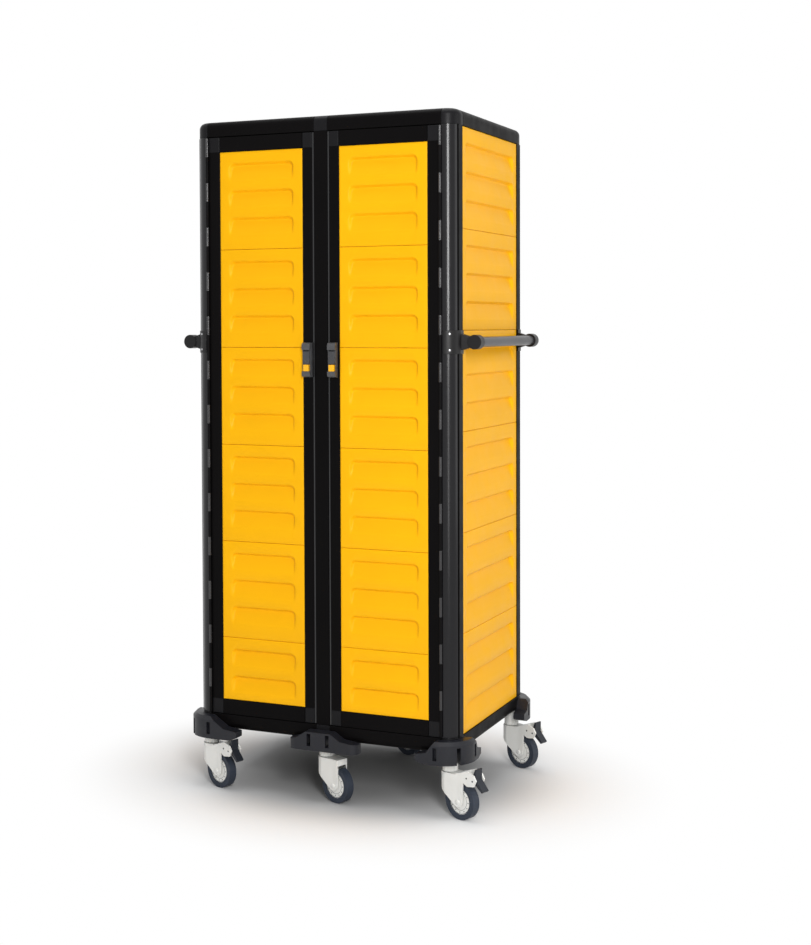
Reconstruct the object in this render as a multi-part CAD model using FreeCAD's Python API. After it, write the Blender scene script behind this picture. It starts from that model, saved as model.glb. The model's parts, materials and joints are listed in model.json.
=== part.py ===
import FreeCAD, Part
import math
import os
from FreeCAD import Vector

os.makedirs("parts", exist_ok=True)

# Enclosed two-compartment meal tray cart on six swivel casters.
# +X is to the right, -Y is the door side, the floor is z = 0 and the origin is
# the floor point under the middle of the cabinet.

# ------------------------------------------------------------------ cabinet
cabinet_width = 792.0
cabinet_depth = 556.0
clear_height = 1632.0
running_gap = 0.3

# Frame extrusions: quarter-round corner posts, rails with one rounded edge.
rail_height = 43.0
rail_depth = 42.0
rail_edge_radius = 18.0
nose_radius = 42.0
nose_end_angle = 28.0
nose_groove = 2.8
post_side_length = 54.0
side_flange_recess = 1.5
centre_post_width = 40.0
stop_lip_reach = 14.0
stop_lip_thickness = 5.7
stop_lip_drop = 12.0

# Roof and base sheets.
roof_thickness = 6.0
roof_recess = 4.0
base_thickness = 6.0
base_recess = 4.0

# ------------------------------------------------------------------ doors
door_gap = 2.0
door_thickness = 28.0
door_rail_height = 41.5
outer_stile_width = 36.0
inner_stile_width = 30.0
closing_gap = 5.5
hinge_gap = 3.5
stile_edge_chamfer = 2.0
gasket_thickness = 3.0
gasket_width = 8.0
seal_strip_width = 4.8
seal_strip_depth = 12.0

# ------------------------------------------------------------------ panels
panel_thickness = 16.0
panel_setback = 1.5
side_panel_setback = 3.5
panel_edge_chamfer = 1.2
door_module_height = 273.5
wall_modules = 6
door_pocket_start = 31.0
wall_pocket_start = 40.0
pocket_pitch = 76.0
pocket_height = 52.0
pocket_depth = 12.5
pocket_margin = 27.0
pocket_end_draft = 10.0
pocket_top_draft = 7.0
pocket_floor_height = 4.0
pocket_foot_margin = 8.0

# ------------------------------------------------------------------ tray runners
liner_thickness = 4.0
divider_thickness = 32.0
ledge_reach = 14.0
ledge_thickness = 6.0
ledge_root_thickness = 11.0
ledge_count = 12
first_ledge_height = 95.0
top_tray_room = 151.0

# ------------------------------------------------------------------ hinges
barrel_radius = 4.0
barrel_flat_count = 8
barrel_gap = 0.2
pin_radius = 2.0
pin_clearance = 0.05
leaf_thickness = 1.2
leaf_depth = 24.0
knuckle_count = 3
knuckle_end_gap = 0.4
hinge_end_inset = 2.0

# ------------------------------------------------------------------ latches
latch_rise = 1055.5
latch_height = 95.0
latch_width = 24.0
latch_inset = 1.0
latch_depth = 18.0
latch_plate = 4.0
latch_cheek = 2.0
latch_cap_height = 20.0
latch_foot_height = 16.0
latch_end_bevel = 7.0
lever_length = 37.0
lever_thickness = 10.0
lever_side_gap = 0.4
lever_top_gap = 2.0
lever_lip = 2.0
lever_pin_radius = 1.5
button_height = 18.0
button_width = 16.0
button_depth = 11.0
button_travel = 3.0
bolt_height = 10.0
bolt_thickness = 10.0
bolt_length = 20.0
bolt_travel = 3.0
bolt_reach = 3.0
bolt_setback = 13.0
strike_thickness = 1.0
strike_margin = 8.0

# ------------------------------------------------------------------ push handles
handle_rise = 1057.0
handle_standoff = 39.0
handle_end_inset = 62.0
handle_tube_radius = 14.0
socket_radius = 19.5
socket_length = 30.0
clamp_height = 63.0
clamp_thickness = 3.5
clamp_front_start = 6.0
clamp_side_end = 2.0
arm_root_height = 44.0
arm_tip_height = 22.0
arm_root_width = 22.0
arm_tip_width = 16.0

# ------------------------------------------------------------------ bumpers
bumper_reach = 34.0
bumper_drop = 22.0
bumper_rise = 39.0
bumper_corner_radius = 85.0
bumper_rim_slope = 9.0
left_wing_length = 141.0
right_wing_length = 108.0
side_wing_length = 94.0
wing_crown_length = 54.0
wing_shoulder_share = 0.71
wing_shoulder_rise = 9.0
wing_tip_rise = 3.0
wing_tip_undercut = 9.0
wing_tip_length = 22.0
slot_width = 11.0
slot_depth = 12.0
slot_bottom_drop = 10.0
slot_top_rise = 24.0
centre_bumper_left = 93.0
centre_bumper_right = 115.0
centre_bumper_rise = 29.0
centre_end_radius = 24.0
centre_crown_half = 38.0
centre_shoulder_half = 66.0
centre_shoulder_rise = 11.0
centre_tip_rise = 4.0
centre_slot_spacing = 56.0

# ------------------------------------------------------------------ casters
caster_inset_x = 29.0
caster_inset_y = 26.0
caster_turn = -21.0
wheel_radius = 50.0
wheel_flat_count = 40
tyre_half_width = 12.0
hub_radius = 36.0
hub_flat_count = 20
hub_half_width = 10.0
axle_radius = 6.0
axle_clearance = 0.05
trail = 43.0
crown_clearance = 4.0
fork_half_gap = 14.0
fork_plate = 5.0
fork_crown_thickness = 18.0
fork_head_radius = 24.0
fork_head_flat_count = 16
fork_heel_height = 84.0
fork_heel_rise = 15.0
fork_front_length = 60.0
fork_foot_radius = 15.0
fork_foot_flat_count = 5
tyre_clearance = 7.5
nose_reach = 107.0
nose_slope = 16.0
housing_height = 48.0
housing_gap = 2.0
housing_radius = 21.0
housing_flat_count = 16
kingpin_radius = 8.0
kingpin_clearance = 0.05
kingpin_engagement = 16.0
pedal_setback = 12.0
pedal_drop = 7.0
pedal_pin_radius = 2.5
pedal_pin_clearance = 0.05
pedal_half_width = 12.0
pedal_plate = 4.5
pedal_tab_height = 31.0
pedal_tab_lean = 8.0
pedal_tread_reach = 31.0
pedal_tread_drop = 28.0

# ------------------------------------------------------------------ derived places
half_width = cabinet_width / 2.0
half_depth = cabinet_depth / 2.0
front = -half_depth
crown_bottom = 2.0 * wheel_radius + crown_clearance
fork_top = crown_bottom + fork_crown_thickness
frame_underside = fork_top + housing_height
opening_bottom = frame_underside + rail_height
opening_top = opening_bottom + clear_height
cabinet_top = opening_top + rail_height
mid_height = (frame_underside + cabinet_top) / 2.0
nose_x = half_width - nose_radius
nose_y = front + nose_radius
post_back = front + post_side_length
rail_back = front + rail_depth
flange_x = half_width - side_flange_recess
centre_half = centre_post_width / 2.0
lip_front = front + door_thickness + gasket_thickness + running_gap
lip_back = lip_front + stop_lip_thickness
roof_top = cabinet_top - roof_recess
roof_bottom = roof_top - roof_thickness
base_bottom = frame_underside + base_recess
base_top = base_bottom + base_thickness
door_bottom = opening_bottom + door_gap
door_top = opening_top - door_gap
door_back = front + door_thickness
door_outer_x = nose_x - hinge_gap
door_inner_x = centre_half + closing_gap
axis_x = nose_x - hinge_gap / 2.0
axis_y = front - barrel_radius - barrel_gap
latch_top = opening_bottom + latch_rise
handle_height = opening_bottom + handle_rise
handle_axis_x = half_width + handle_standoff
handle_tube_half = half_depth - handle_end_inset
caster_x = half_width - caster_inset_x
caster_y = half_depth - caster_inset_y
X_AXIS = Vector(1, 0, 0)
Y_AXIS = Vector(0, 1, 0)
Z_AXIS = Vector(0, 0, 1)


# ------------------------------------------------------------------ helpers
def box(x0, x1, y0, y1, z0, z1):
    return Part.makeBox(x1 - x0, y1 - y0, z1 - z0, Vector(x0, y0, z0))


def rod(radius, start, end):
    along = end - start
    return Part.makeCylinder(radius, along.Length, start, along)


def outline(start, steps, place):
    """Closed face: a step is a point, or a pair (point on the arc, end point)."""
    edges = []
    here = place(*start)
    for step in list(steps) + [start]:
        if isinstance(step[0], tuple):
            there = place(*step[1])
            edges.append(Part.Arc(here, place(*step[0]), there).toShape())
        else:
            there = place(*step)
            edges.append(Part.makeLine(here, there))
        here = there
    return Part.Face(Part.Wire(edges))


def plan(x, y):
    return Vector(x, y, 0)


def elevation(x, z):
    return Vector(x, 0, z)


def section(y, z):
    return Vector(0, y, z)


def on_circle(cx, cy, radius, degrees):
    angle = math.radians(degrees)
    return (cx + radius * math.cos(angle), cy + radius * math.sin(angle))


def many_sided(cx, cy, radius, flats, first=0.0):
    """Corners of a regular outline, the first one at that angle from +x."""
    step = 360.0 / flats
    return [on_circle(cx, cy, radius, first + step * index) for index in range(flats)]


def upright(start, steps, z0, z1):
    face = outline(start, steps, plan)
    face.translate(Vector(0, 0, z0))
    return face.extrude(Vector(0, 0, z1 - z0))


def across(start, steps, x0, x1):
    face = outline(start, steps, section)
    face.translate(Vector(x0, 0, 0))
    return face.extrude(Vector(x1 - x0, 0, 0))


def along_y(start, steps, y0, y1):
    face = outline(start, steps, elevation)
    face.translate(Vector(0, y0, 0))
    return face.extrude(Vector(0, y1 - y0, 0))


def flip_x(shape):
    return shape.mirror(Vector(0, 0, 0), X_AXIS)


def flip_y(shape):
    return shape.mirror(Vector(0, 0, 0), Y_AXIS)


def flip_z(shape):
    return shape.mirror(Vector(0, 0, mid_height), Z_AXIS)


def left_and_right(shapes):
    return shapes + [flip_x(shape) for shape in shapes]


def front_and_back(shapes):
    return shapes + [flip_y(shape) for shape in shapes]


def four_corners(shapes):
    return front_and_back(left_and_right(shapes))


def save(node, solids):
    shape = solids[0] if len(solids) == 1 else Part.makeCompound(solids)
    shape.exportStep("parts/" + node + ".step")


# ------------------------------------------------------------------ frame
def corner_post():
    nose_mid = on_circle(nose_x, nose_y, nose_radius, -60.0)
    nose_end = on_circle(nose_x, nose_y, nose_radius, -nose_end_angle)
    flange_front = nose_end[1] + nose_groove
    steps = [
        (nose_mid, nose_end),
        (nose_end[0], flange_front),
        (flange_x, flange_front),
        (flange_x, post_back),
        (nose_x, post_back),
    ]
    return upright((nose_x, front), steps, opening_bottom, opening_top)


def centre_post():
    return box(-centre_half, centre_half, front, rail_back, opening_bottom, opening_top)


def stop_strip(root, reach):
    """Upright strip behind one long edge of a closed door."""
    near = min(root, root + reach)
    far = max(root, root + reach)
    return box(near, far, lip_front, lip_back, opening_bottom, opening_top)


def rail_steps(outer, inward):
    """Rail section from its outer face inward, open edge at the top outside."""
    shoulder = cabinet_top - rail_edge_radius
    turn = rail_edge_radius * (1.0 - math.cos(math.radians(45.0)))
    return [
        (outer, shoulder),
        (
            (outer + inward * turn, cabinet_top - turn),
            (outer + inward * rail_edge_radius, cabinet_top),
        ),
        (outer + inward * rail_depth, cabinet_top),
        (outer + inward * rail_depth, opening_top),
    ]


def front_rail():
    rail = across((front, opening_top), rail_steps(front, 1.0), centre_half, nose_x)
    lip = box(
        centre_half + stop_lip_reach,
        nose_x - stop_lip_reach,
        lip_front,
        lip_back,
        opening_top - stop_lip_drop,
        opening_top,
    )
    return rail.fuse(lip).removeSplitter()


def side_rail():
    steps = rail_steps(half_width, -1.0)
    return along_y((half_width, opening_top), steps, post_back, -post_back)


def cap_section():
    """Upper connector section: radius from the corner's centre, and height."""
    turn = rail_edge_radius * (1.0 - math.cos(math.radians(45.0)))
    return [
        (nose_radius, opening_top),
        (nose_radius, cabinet_top - rail_edge_radius),
        (
            (nose_radius - turn, cabinet_top - turn),
            (nose_radius - rail_edge_radius, cabinet_top),
        ),
        (0.0, cabinet_top),
    ]


def corner_cap():
    """Top corner block: a quarter turn of the rounded section, and its tail."""
    face = outline((0.0, opening_top), cap_section(), elevation)
    knuckle = face.revolve(Vector(0, 0, 0), Z_AXIS, -90.0)
    tail = face.extrude(Vector(0, post_back - nose_y, 0))
    block = knuckle.fuse(tail).removeSplitter()
    block.translate(Vector(nose_x, nose_y, 0))
    return block


def corner_foot():
    nose_mid = on_circle(nose_x, nose_y, nose_radius, -45.0)
    steps = [
        (nose_mid, (half_width, nose_y)),
        (half_width, post_back),
        (nose_x, post_back),
    ]
    return flip_z(upright((nose_x, front), steps, opening_top, cabinet_top))


def centre_connector():
    return across(
        (front, opening_top), rail_steps(front, 1.0), -centre_half, centre_half
    )


top_corners = four_corners([corner_cap()])
bottom_corners = four_corners([corner_foot()])
centre_blocks = front_and_back([centre_connector()])
rails = four_corners([front_rail()]) + left_and_right([side_rail()])
outer_stop = stop_strip(nose_x, -stop_lip_reach)
inner_stops = left_and_right([stop_strip(centre_half, stop_lip_reach)])
save("corner_posts", four_corners([corner_post(), outer_stop]))
save("centre_posts", front_and_back([centre_post()] + inner_stops))
save("top_rails", rails)
save("bottom_rails", [flip_z(rail) for rail in rails])
save("top_connectors", top_corners + centre_blocks)
save("bottom_connectors", bottom_corners + [flip_z(block) for block in centre_blocks])
save("roof_panel", [box(-nose_x, nose_x, rail_back, -rail_back, roof_bottom, roof_top)])
save("base_panel", [box(-nose_x, nose_x, rail_back, -rail_back, base_bottom, base_top)])


# ------------------------------------------------------------------ moulded panels
def pocket_ring(left, right, top, inward):
    """Pocket corners at a share of its depth: steep top, long sloping floor."""
    x0 = left + inward * pocket_end_draft
    x1 = right - inward * pocket_end_draft
    z1 = top - inward * pocket_top_draft
    rise = pocket_height - pocket_top_draft - pocket_floor_height
    z0 = top - pocket_height + inward * rise
    y = inward * pocket_depth
    return [Vector(x0, y, z0), Vector(x1, y, z0), Vector(x1, y, z1), Vector(x0, y, z1)]


def flat_sided(ring, far_ring):
    """Solid between two like rings of points, with one flat face per side."""
    faces = [Part.Face(Part.makePolygon(loop + [loop[0]])) for loop in (ring, far_ring)]
    for index in range(len(ring)):
        after = (index + 1) % len(ring)
        corners = [ring[index], ring[after], far_ring[after], far_ring[index]]
        faces.append(Part.Face(Part.makePolygon(corners + [corners[0]])))
    return Part.makeSolid(Part.makeShell(faces))


def moulded_panel(width, height, pocket_start):
    """One module standing on z = 0 with its outer face on y = 0, facing -Y."""
    edge = panel_edge_chamfer
    steps = [
        (panel_thickness, 0.0),
        (panel_thickness, height),
        (edge, height),
        (0.0, height - edge),
        (0.0, edge),
    ]
    panel = across((edge, 0.0), steps, 0.0, width)
    top = height - pocket_start
    while top - pocket_height > pocket_foot_margin:
        mouth = pocket_ring(pocket_margin, width - pocket_margin, top, -0.08)
        floor = pocket_ring(pocket_margin, width - pocket_margin, top, 1.0)
        panel = panel.cut(flat_sided(mouth, floor))
        top -= pocket_pitch
    return panel


def panel_stack(width, bottom, top, module_height, pocket_start):
    """Modules stacked from the top down; what is left over is a short one."""
    stack = []
    high = top
    while high - bottom > 1.0:
        low = max(bottom, high - module_height)
        panel = moulded_panel(width, high - low, pocket_start)
        panel.translate(Vector(0, 0, low))
        stack.append(panel)
        high = low
    return stack


wall_module_height = clear_height / wall_modules
side_width = -2.0 * post_back
side_stack = panel_stack(
    side_width, opening_bottom, opening_top, wall_module_height, wall_pocket_start
)
for side_module in side_stack:
    side_module.rotate(Vector(0, 0, 0), Z_AXIS, 90.0)
    side_module.translate(Vector(half_width - side_panel_setback, post_back, 0))
save("side_panels", left_and_right(side_stack))

rear_stack = panel_stack(
    nose_x - centre_half,
    opening_bottom,
    opening_top,
    wall_module_height,
    wall_pocket_start,
)
for rear_module in rear_stack:
    rear_module.translate(Vector(centre_half, front + panel_setback, 0))
save("rear_panels", left_and_right([flip_y(module) for module in rear_stack]))


# ------------------------------------------------------------------ tray runners
first_ledge = base_top + first_ledge_height
ledge_pitch = (roof_bottom - top_tray_room - first_ledge) / (ledge_count - 1)


def ledge_steps(wall, tip, inward):
    """Saw-tooth side of a wall: flat-topped ledges with a tapered underside."""
    steps = []
    for index in range(ledge_count):
        top = first_ledge + index * ledge_pitch
        steps += [
            (wall, top - ledge_root_thickness),
            (tip, top - ledge_thickness),
            (tip, top),
            (wall, top),
        ]
    return steps if inward > 0 else list(reversed(steps))


def side_liner():
    wall = nose_x - liner_thickness
    steps = [(nose_x, base_top), (nose_x, roof_bottom), (wall, roof_bottom)]
    steps += ledge_steps(wall, wall - ledge_reach, -1.0)
    return along_y((wall, base_top), steps, rail_back, -rail_back)


def centre_divider():
    wall = divider_thickness / 2.0
    tip = wall + ledge_reach
    steps = [(wall, base_top)]
    steps += ledge_steps(wall, tip, 1.0)
    steps += [(wall, roof_bottom), (-wall, roof_bottom)]
    steps += ledge_steps(-wall, -tip, -1.0)
    return along_y((-wall, base_top), steps, rail_back, -rail_back)


save("tray_liners", left_and_right([side_liner()]))
save("centre_divider", [centre_divider()])


# ------------------------------------------------------------------ doors
def stile(x0, x1):
    edge = stile_edge_chamfer
    steps = [
        (x1 - edge, front),
        (x1, front + edge),
        (x1, door_back),
        (x0, door_back),
        (x0, front + edge),
    ]
    return (x0 + edge, front), steps


def door_member(x0, x1, z0, z1):
    start, steps = stile(x0, x1)
    return upright(start, steps, z0, z1)


panel_bottom = door_bottom + door_rail_height
panel_top = door_top - door_rail_height
outer_panel_x = door_outer_x - outer_stile_width
inner_panel_x = door_inner_x + inner_stile_width
latch_bottom = latch_top - latch_height
bolt_z = latch_top - latch_height / 2.0
bolt_y = front + bolt_setback
bolt_tip_x = door_inner_x - bolt_reach

bolt_passage = box(
    door_inner_x - 1.0,
    bolt_tip_x + bolt_length + bolt_travel + running_gap,
    bolt_y - running_gap,
    bolt_y + bolt_thickness + running_gap,
    bolt_z - bolt_height / 2.0 - running_gap,
    bolt_z + bolt_height / 2.0 + running_gap,
)
outer_stile = door_member(outer_panel_x, door_outer_x, panel_bottom, panel_top)
inner_stile = door_member(door_inner_x, inner_panel_x, panel_bottom, panel_top)
inner_stile = inner_stile.cut(bolt_passage)
rail_bar = box(inner_panel_x, outer_panel_x, front, door_back, door_bottom, panel_bottom)
door_rails = [rail_bar, flip_z(rail_bar)]
corner_outer = door_member(outer_panel_x, door_outer_x, door_bottom, panel_bottom)
corner_inner = door_member(door_inner_x, inner_panel_x, door_bottom, panel_bottom)
door_corners = [corner_outer, corner_inner, flip_z(corner_outer), flip_z(corner_inner)]
door_stack = panel_stack(
    outer_panel_x - inner_panel_x,
    panel_bottom,
    panel_top,
    door_module_height,
    door_pocket_start,
)
for door_module in door_stack:
    door_module.translate(Vector(inner_panel_x, front + panel_setback, 0))

gasket_outer = box(
    door_inner_x + 0.5,
    door_outer_x - 0.5,
    door_back,
    door_back + gasket_thickness,
    door_bottom + 0.5,
    door_top - 0.5,
)
gasket_inner = box(
    door_inner_x + 0.5 + gasket_width,
    door_outer_x - 0.5 - gasket_width,
    door_back - 1.0,
    door_back + gasket_thickness + 1.0,
    door_bottom + 0.5 + gasket_width,
    door_top - 0.5 - gasket_width,
)
seal_strip = box(
    door_inner_x - seal_strip_width,
    door_inner_x,
    front + stile_edge_chamfer,
    front + seal_strip_depth,
    door_bottom,
    door_top,
)


# ------------------------------------------------------------------ hinges
hinge_bottom = door_bottom + hinge_end_inset
hinge_top = door_top - hinge_end_inset
knuckle_pitch = (hinge_top - hinge_bottom + knuckle_end_gap) / knuckle_count


def hinge_half(first, leaf_x0, leaf_x1):
    """One leaf of a door's hinge with every second knuckle, bored for the pin."""
    leaf = box(leaf_x0, leaf_x1, front, front + leaf_depth, hinge_bottom, hinge_top)
    sides = many_sided(axis_x, axis_y, barrel_radius, barrel_flat_count)
    for index in range(first, knuckle_count, 2):
        low = hinge_bottom + index * knuckle_pitch
        high = low + knuckle_pitch - knuckle_end_gap
        barrel = upright(sides[0], sides[1:], low, high)
        root = box(leaf_x0, leaf_x1, axis_y, front, low, high)
        leaf = leaf.fuse([barrel, root])
    bore = rod(
        pin_radius + pin_clearance,
        Vector(axis_x, axis_y, hinge_bottom),
        Vector(axis_x, axis_y, hinge_top),
    )
    return leaf.cut(bore).removeSplitter()


door_leaf = hinge_half(1, door_outer_x, door_outer_x + leaf_thickness)
post_leaf = hinge_half(0, nose_x - leaf_thickness, nose_x)
hinge_pin = rod(
    pin_radius, Vector(axis_x, axis_y, hinge_bottom), Vector(axis_x, axis_y, hinge_top)
)
save("hinge_pins", left_and_right([hinge_pin]))
save("hinge_post_leaves", left_and_right([post_leaf]))

# ------------------------------------------------------------------ latches
latch_x0 = door_inner_x + latch_inset
latch_x1 = latch_x0 + latch_width
latch_front = front - latch_depth
plate_front = front - latch_plate
cap_bottom = latch_top - latch_cap_height
foot_top = latch_bottom + latch_foot_height
lever_top = cap_bottom - lever_top_gap
lever_pin_z = lever_top - lever_thickness / 2.0
lever_pin_y = plate_front - running_gap - lever_thickness / 2.0
lever_x0 = latch_x0 + latch_cheek + lever_side_gap
lever_x1 = latch_x1 - latch_cheek - lever_side_gap


def latch_end(z_flat, z_end):
    """End block of a latch housing with its outer corner bevelled in two steps."""
    inward = math.copysign(latch_end_bevel, z_flat - z_end)
    third = latch_end_bevel / 3.0
    steps = [
        (latch_front + latch_end_bevel, z_end),
        (latch_front + third, z_end + inward / 3.0),
        (latch_front, z_end + inward),
        (latch_front, z_flat),
        (front, z_flat),
    ]
    return across((front, z_end), steps, latch_x0, latch_x1)


def latch_body():
    plate = box(latch_x0, latch_x1, plate_front, front, foot_top, cap_bottom)
    cap = latch_end(cap_bottom, latch_top)
    foot = latch_end(foot_top, latch_bottom)
    cheek_front = lever_pin_y - lever_pin_radius - 1.5
    cheek = box(latch_x0, latch_x0 + latch_cheek, cheek_front, front, foot_top, cap_bottom)
    far_cheek = cheek.copy()
    far_cheek.translate(Vector(latch_width - latch_cheek, 0, 0))
    pin = rod(
        lever_pin_radius,
        Vector(latch_x0 + 0.5, lever_pin_y, lever_pin_z),
        Vector(latch_x1 - 0.5, lever_pin_y, lever_pin_z),
    )
    return plate.fuse([cap, foot, cheek, far_cheek, pin]).removeSplitter()


def latch_lever():
    """Paddle whose upper end is rounded about its pin, so that it turns freely."""
    radius = lever_thickness / 2.0
    back = lever_pin_y + radius
    nose = lever_pin_y - radius
    bottom = lever_top - lever_length
    top_bend = on_circle(lever_pin_y, lever_pin_z, radius, 45.0)
    steps = [
        (top_bend, (lever_pin_y, lever_top)),
        (nose + radius / 2.0, lever_top),
        (nose, lever_top - radius / 2.0),
        (nose - lever_lip, bottom),
        (back, bottom),
    ]
    lever = across((back, lever_pin_z), steps, lever_x0, lever_x1)
    bore = rod(
        lever_pin_radius + pin_clearance,
        Vector(lever_x0 - 1.0, lever_pin_y, lever_pin_z),
        Vector(lever_x1 + 1.0, lever_pin_y, lever_pin_z),
    )
    return lever.cut(bore)


button_top = lever_top - lever_length - 1.5
button_x0 = (latch_x0 + latch_x1 - button_width) / 2.0
button_back = plate_front - button_travel - running_gap
latch_button = box(
    button_x0,
    button_x0 + button_width,
    button_back - button_depth,
    button_back,
    button_top - button_height,
    button_top,
)
latch_bolt = box(
    bolt_tip_x,
    bolt_tip_x + bolt_length,
    bolt_y,
    bolt_y + bolt_thickness,
    bolt_z - bolt_height / 2.0,
    bolt_z + bolt_height / 2.0,
)
strike = box(
    centre_half,
    centre_half + strike_thickness,
    front + seal_strip_depth + 1.0,
    door_back - 1.0,
    bolt_z - bolt_height / 2.0 - strike_margin,
    bolt_z + bolt_height / 2.0 + strike_margin,
)
save("latch_strikes", left_and_right([strike]))

door_parts = {
    "door_frame": [outer_stile, inner_stile] + door_rails,
    "door_corners": door_corners,
    "door_panels": door_stack,
    "door_seals": [gasket_outer.cut(gasket_inner), seal_strip],
    "hinge_leaf": [door_leaf],
    "latch_body": [latch_body()],
    "latch_lever": [latch_lever()],
    "latch_button": [latch_button],
    "latch_bolt": [latch_bolt],
}
for name, solids in door_parts.items():
    save(name + "_right", solids)
    save(name + "_left", [flip_x(solid) for solid in solids])


# ------------------------------------------------------------------ push handles
def post_clamp():
    """Pressed clip round the nose and the side flange of a corner post."""
    fit_radius = nose_radius + running_gap
    outer_radius = nose_radius + clamp_thickness
    near = nose_x + clamp_front_start
    inner_near = nose_y - math.sqrt(fit_radius ** 2 - clamp_front_start ** 2)
    outer_near = nose_y - math.sqrt(outer_radius ** 2 - clamp_front_start ** 2)
    outer_end = on_circle(nose_x, nose_y, outer_radius, -nose_end_angle)
    inner_end = on_circle(nose_x, nose_y, fit_radius, -nose_end_angle)
    outer_mid = on_circle(nose_x, nose_y, outer_radius, -55.0)
    inner_mid = on_circle(nose_x, nose_y, fit_radius, -55.0)
    flange_front = on_circle(nose_x, nose_y, nose_radius, -nose_end_angle)[1] + nose_groove
    side_end = post_back - clamp_side_end
    steps = [
        (outer_mid, outer_end),
        (flange_x + clamp_thickness, flange_front + clamp_thickness),
        (flange_x + clamp_thickness, side_end),
        (flange_x, side_end),
        (flange_x, flange_front - running_gap),
        (inner_end[0], flange_front - running_gap),
        inner_end,
        (inner_mid, (near, inner_near)),
    ]
    low = handle_height - clamp_height / 2.0
    return upright((near, outer_near), steps, low, low + clamp_height)


def arm_ring(x, y, width, height):
    return [
        Vector(x, y - width / 2.0, handle_height - height / 2.0),
        Vector(x, y + width / 2.0, handle_height - height / 2.0),
        Vector(x, y + width / 2.0, handle_height + height / 2.0),
        Vector(x, y - width / 2.0, handle_height + height / 2.0),
    ]


clamp_face_x = flange_x + clamp_thickness
arm_root_y = post_back - clamp_side_end - arm_root_width / 2.0
socket_mid_y = -handle_tube_half - socket_length / 2.0


def handle_socket():
    """Round end block that takes the tube, with the arm that carries it."""
    head = rod(
        socket_radius,
        Vector(handle_axis_x, -handle_tube_half - socket_length, handle_height),
        Vector(handle_axis_x, -handle_tube_half, handle_height),
    )
    arm = flat_sided(
        arm_ring(clamp_face_x, arm_root_y, arm_root_width, arm_root_height),
        arm_ring(handle_axis_x, socket_mid_y, arm_tip_width, arm_tip_height),
    )
    return head.fuse(arm).removeSplitter()


handle_tube = rod(
    handle_tube_radius,
    Vector(handle_axis_x, -handle_tube_half, handle_height),
    Vector(handle_axis_x, handle_tube_half, handle_height),
)
save("handle_tubes", left_and_right([handle_tube]))
save("handle_sockets", four_corners([handle_socket()]))
save("post_clamps", four_corners([post_clamp()]))


# ------------------------------------------------------------------ bumpers
outer_x = half_width + bumper_reach
outer_y = front - bumper_reach
bumper_bottom = frame_underside - bumper_drop
bumper_top = frame_underside + bumper_rise
slot_bottom = frame_underside - slot_bottom_drop
slot_top = frame_underside + slot_top_rise
bumper_centre_x = outer_x - bumper_corner_radius
bumper_centre_y = outer_y + bumper_corner_radius
nose_fit = nose_radius + running_gap


def bumper_body(wing_x, wing_y):
    """Corner bumper before shaping, with its rim sloped all round the outside."""
    corner_mid = on_circle(bumper_centre_x, bumper_centre_y, bumper_corner_radius, -45.0)
    nose_mid = on_circle(nose_x, nose_y, nose_fit, -45.0)
    steps = [
        (wing_x, outer_y),
        (bumper_centre_x, outer_y),
        (corner_mid, (outer_x, bumper_centre_y)),
        (outer_x, wing_y),
        (half_width, wing_y),
        (half_width, nose_y),
        (nose_x + nose_fit, nose_y),
        (nose_mid, (nose_x, nose_y - nose_fit)),
        (nose_x, front),
    ]
    body = upright((wing_x, front), steps, bumper_bottom, bumper_top)
    rim = []
    for edge in body.Edges:
        middle = edge.valueAt((edge.FirstParameter + edge.LastParameter) / 2.0)
        reach = math.hypot(middle.x - bumper_centre_x, middle.y - bumper_centre_y)
        on_wing = abs(middle.y - outer_y) < 0.01 or abs(middle.x - outer_x) < 0.01
        on_corner = middle.x > bumper_centre_x and reach > bumper_corner_radius - 0.01
        if abs(middle.z - bumper_top) < 0.01 and (on_wing or on_corner):
            rim.append(edge)
    return body.makeChamfer(bumper_rim_slope, rim)


def wing_view(length):
    """Front view of a wing, from its raised tip to past the corner."""
    tip_x = half_width - length
    shoulder_x = half_width - length * wing_shoulder_share
    steps = [
        (tip_x + wing_tip_length, bumper_bottom),
        (outer_x, bumper_bottom),
        (outer_x, bumper_top),
        (half_width - wing_crown_length, bumper_top),
        (shoulder_x, frame_underside + wing_shoulder_rise),
        (tip_x, frame_underside + wing_tip_rise),
    ]
    start = (tip_x, bumper_bottom + wing_tip_undercut)
    return along_y(start, steps, outer_y, front + left_wing_length)


def to_side(shape):
    """Swap the front and the side wing about the diagonal of the corner."""
    return shape.mirror(Vector(half_width, front, 0), Vector(1, 1, 0))


def corner_bumper(front_length):
    body = bumper_body(half_width - front_length, front + side_wing_length)
    body = body.common(wing_view(front_length)).common(to_side(wing_view(side_wing_length)))
    slot_half = slot_width / 2.0
    straight_slot = box(
        bumper_centre_x - slot_half,
        bumper_centre_x + slot_half,
        outer_y,
        outer_y + slot_depth,
        slot_bottom,
        slot_top,
    )
    diagonal_slot = box(
        0.0,
        bumper_corner_radius,
        -slot_half,
        slot_half,
        bumper_bottom,
        slot_top,
    )
    diagonal_slot.rotate(Vector(0, 0, 0), Z_AXIS, -45.0)
    diagonal_slot.translate(Vector(bumper_centre_x, bumper_centre_y, 0))
    return body.cut([straight_slot, to_side(straight_slot), diagonal_slot])


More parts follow.
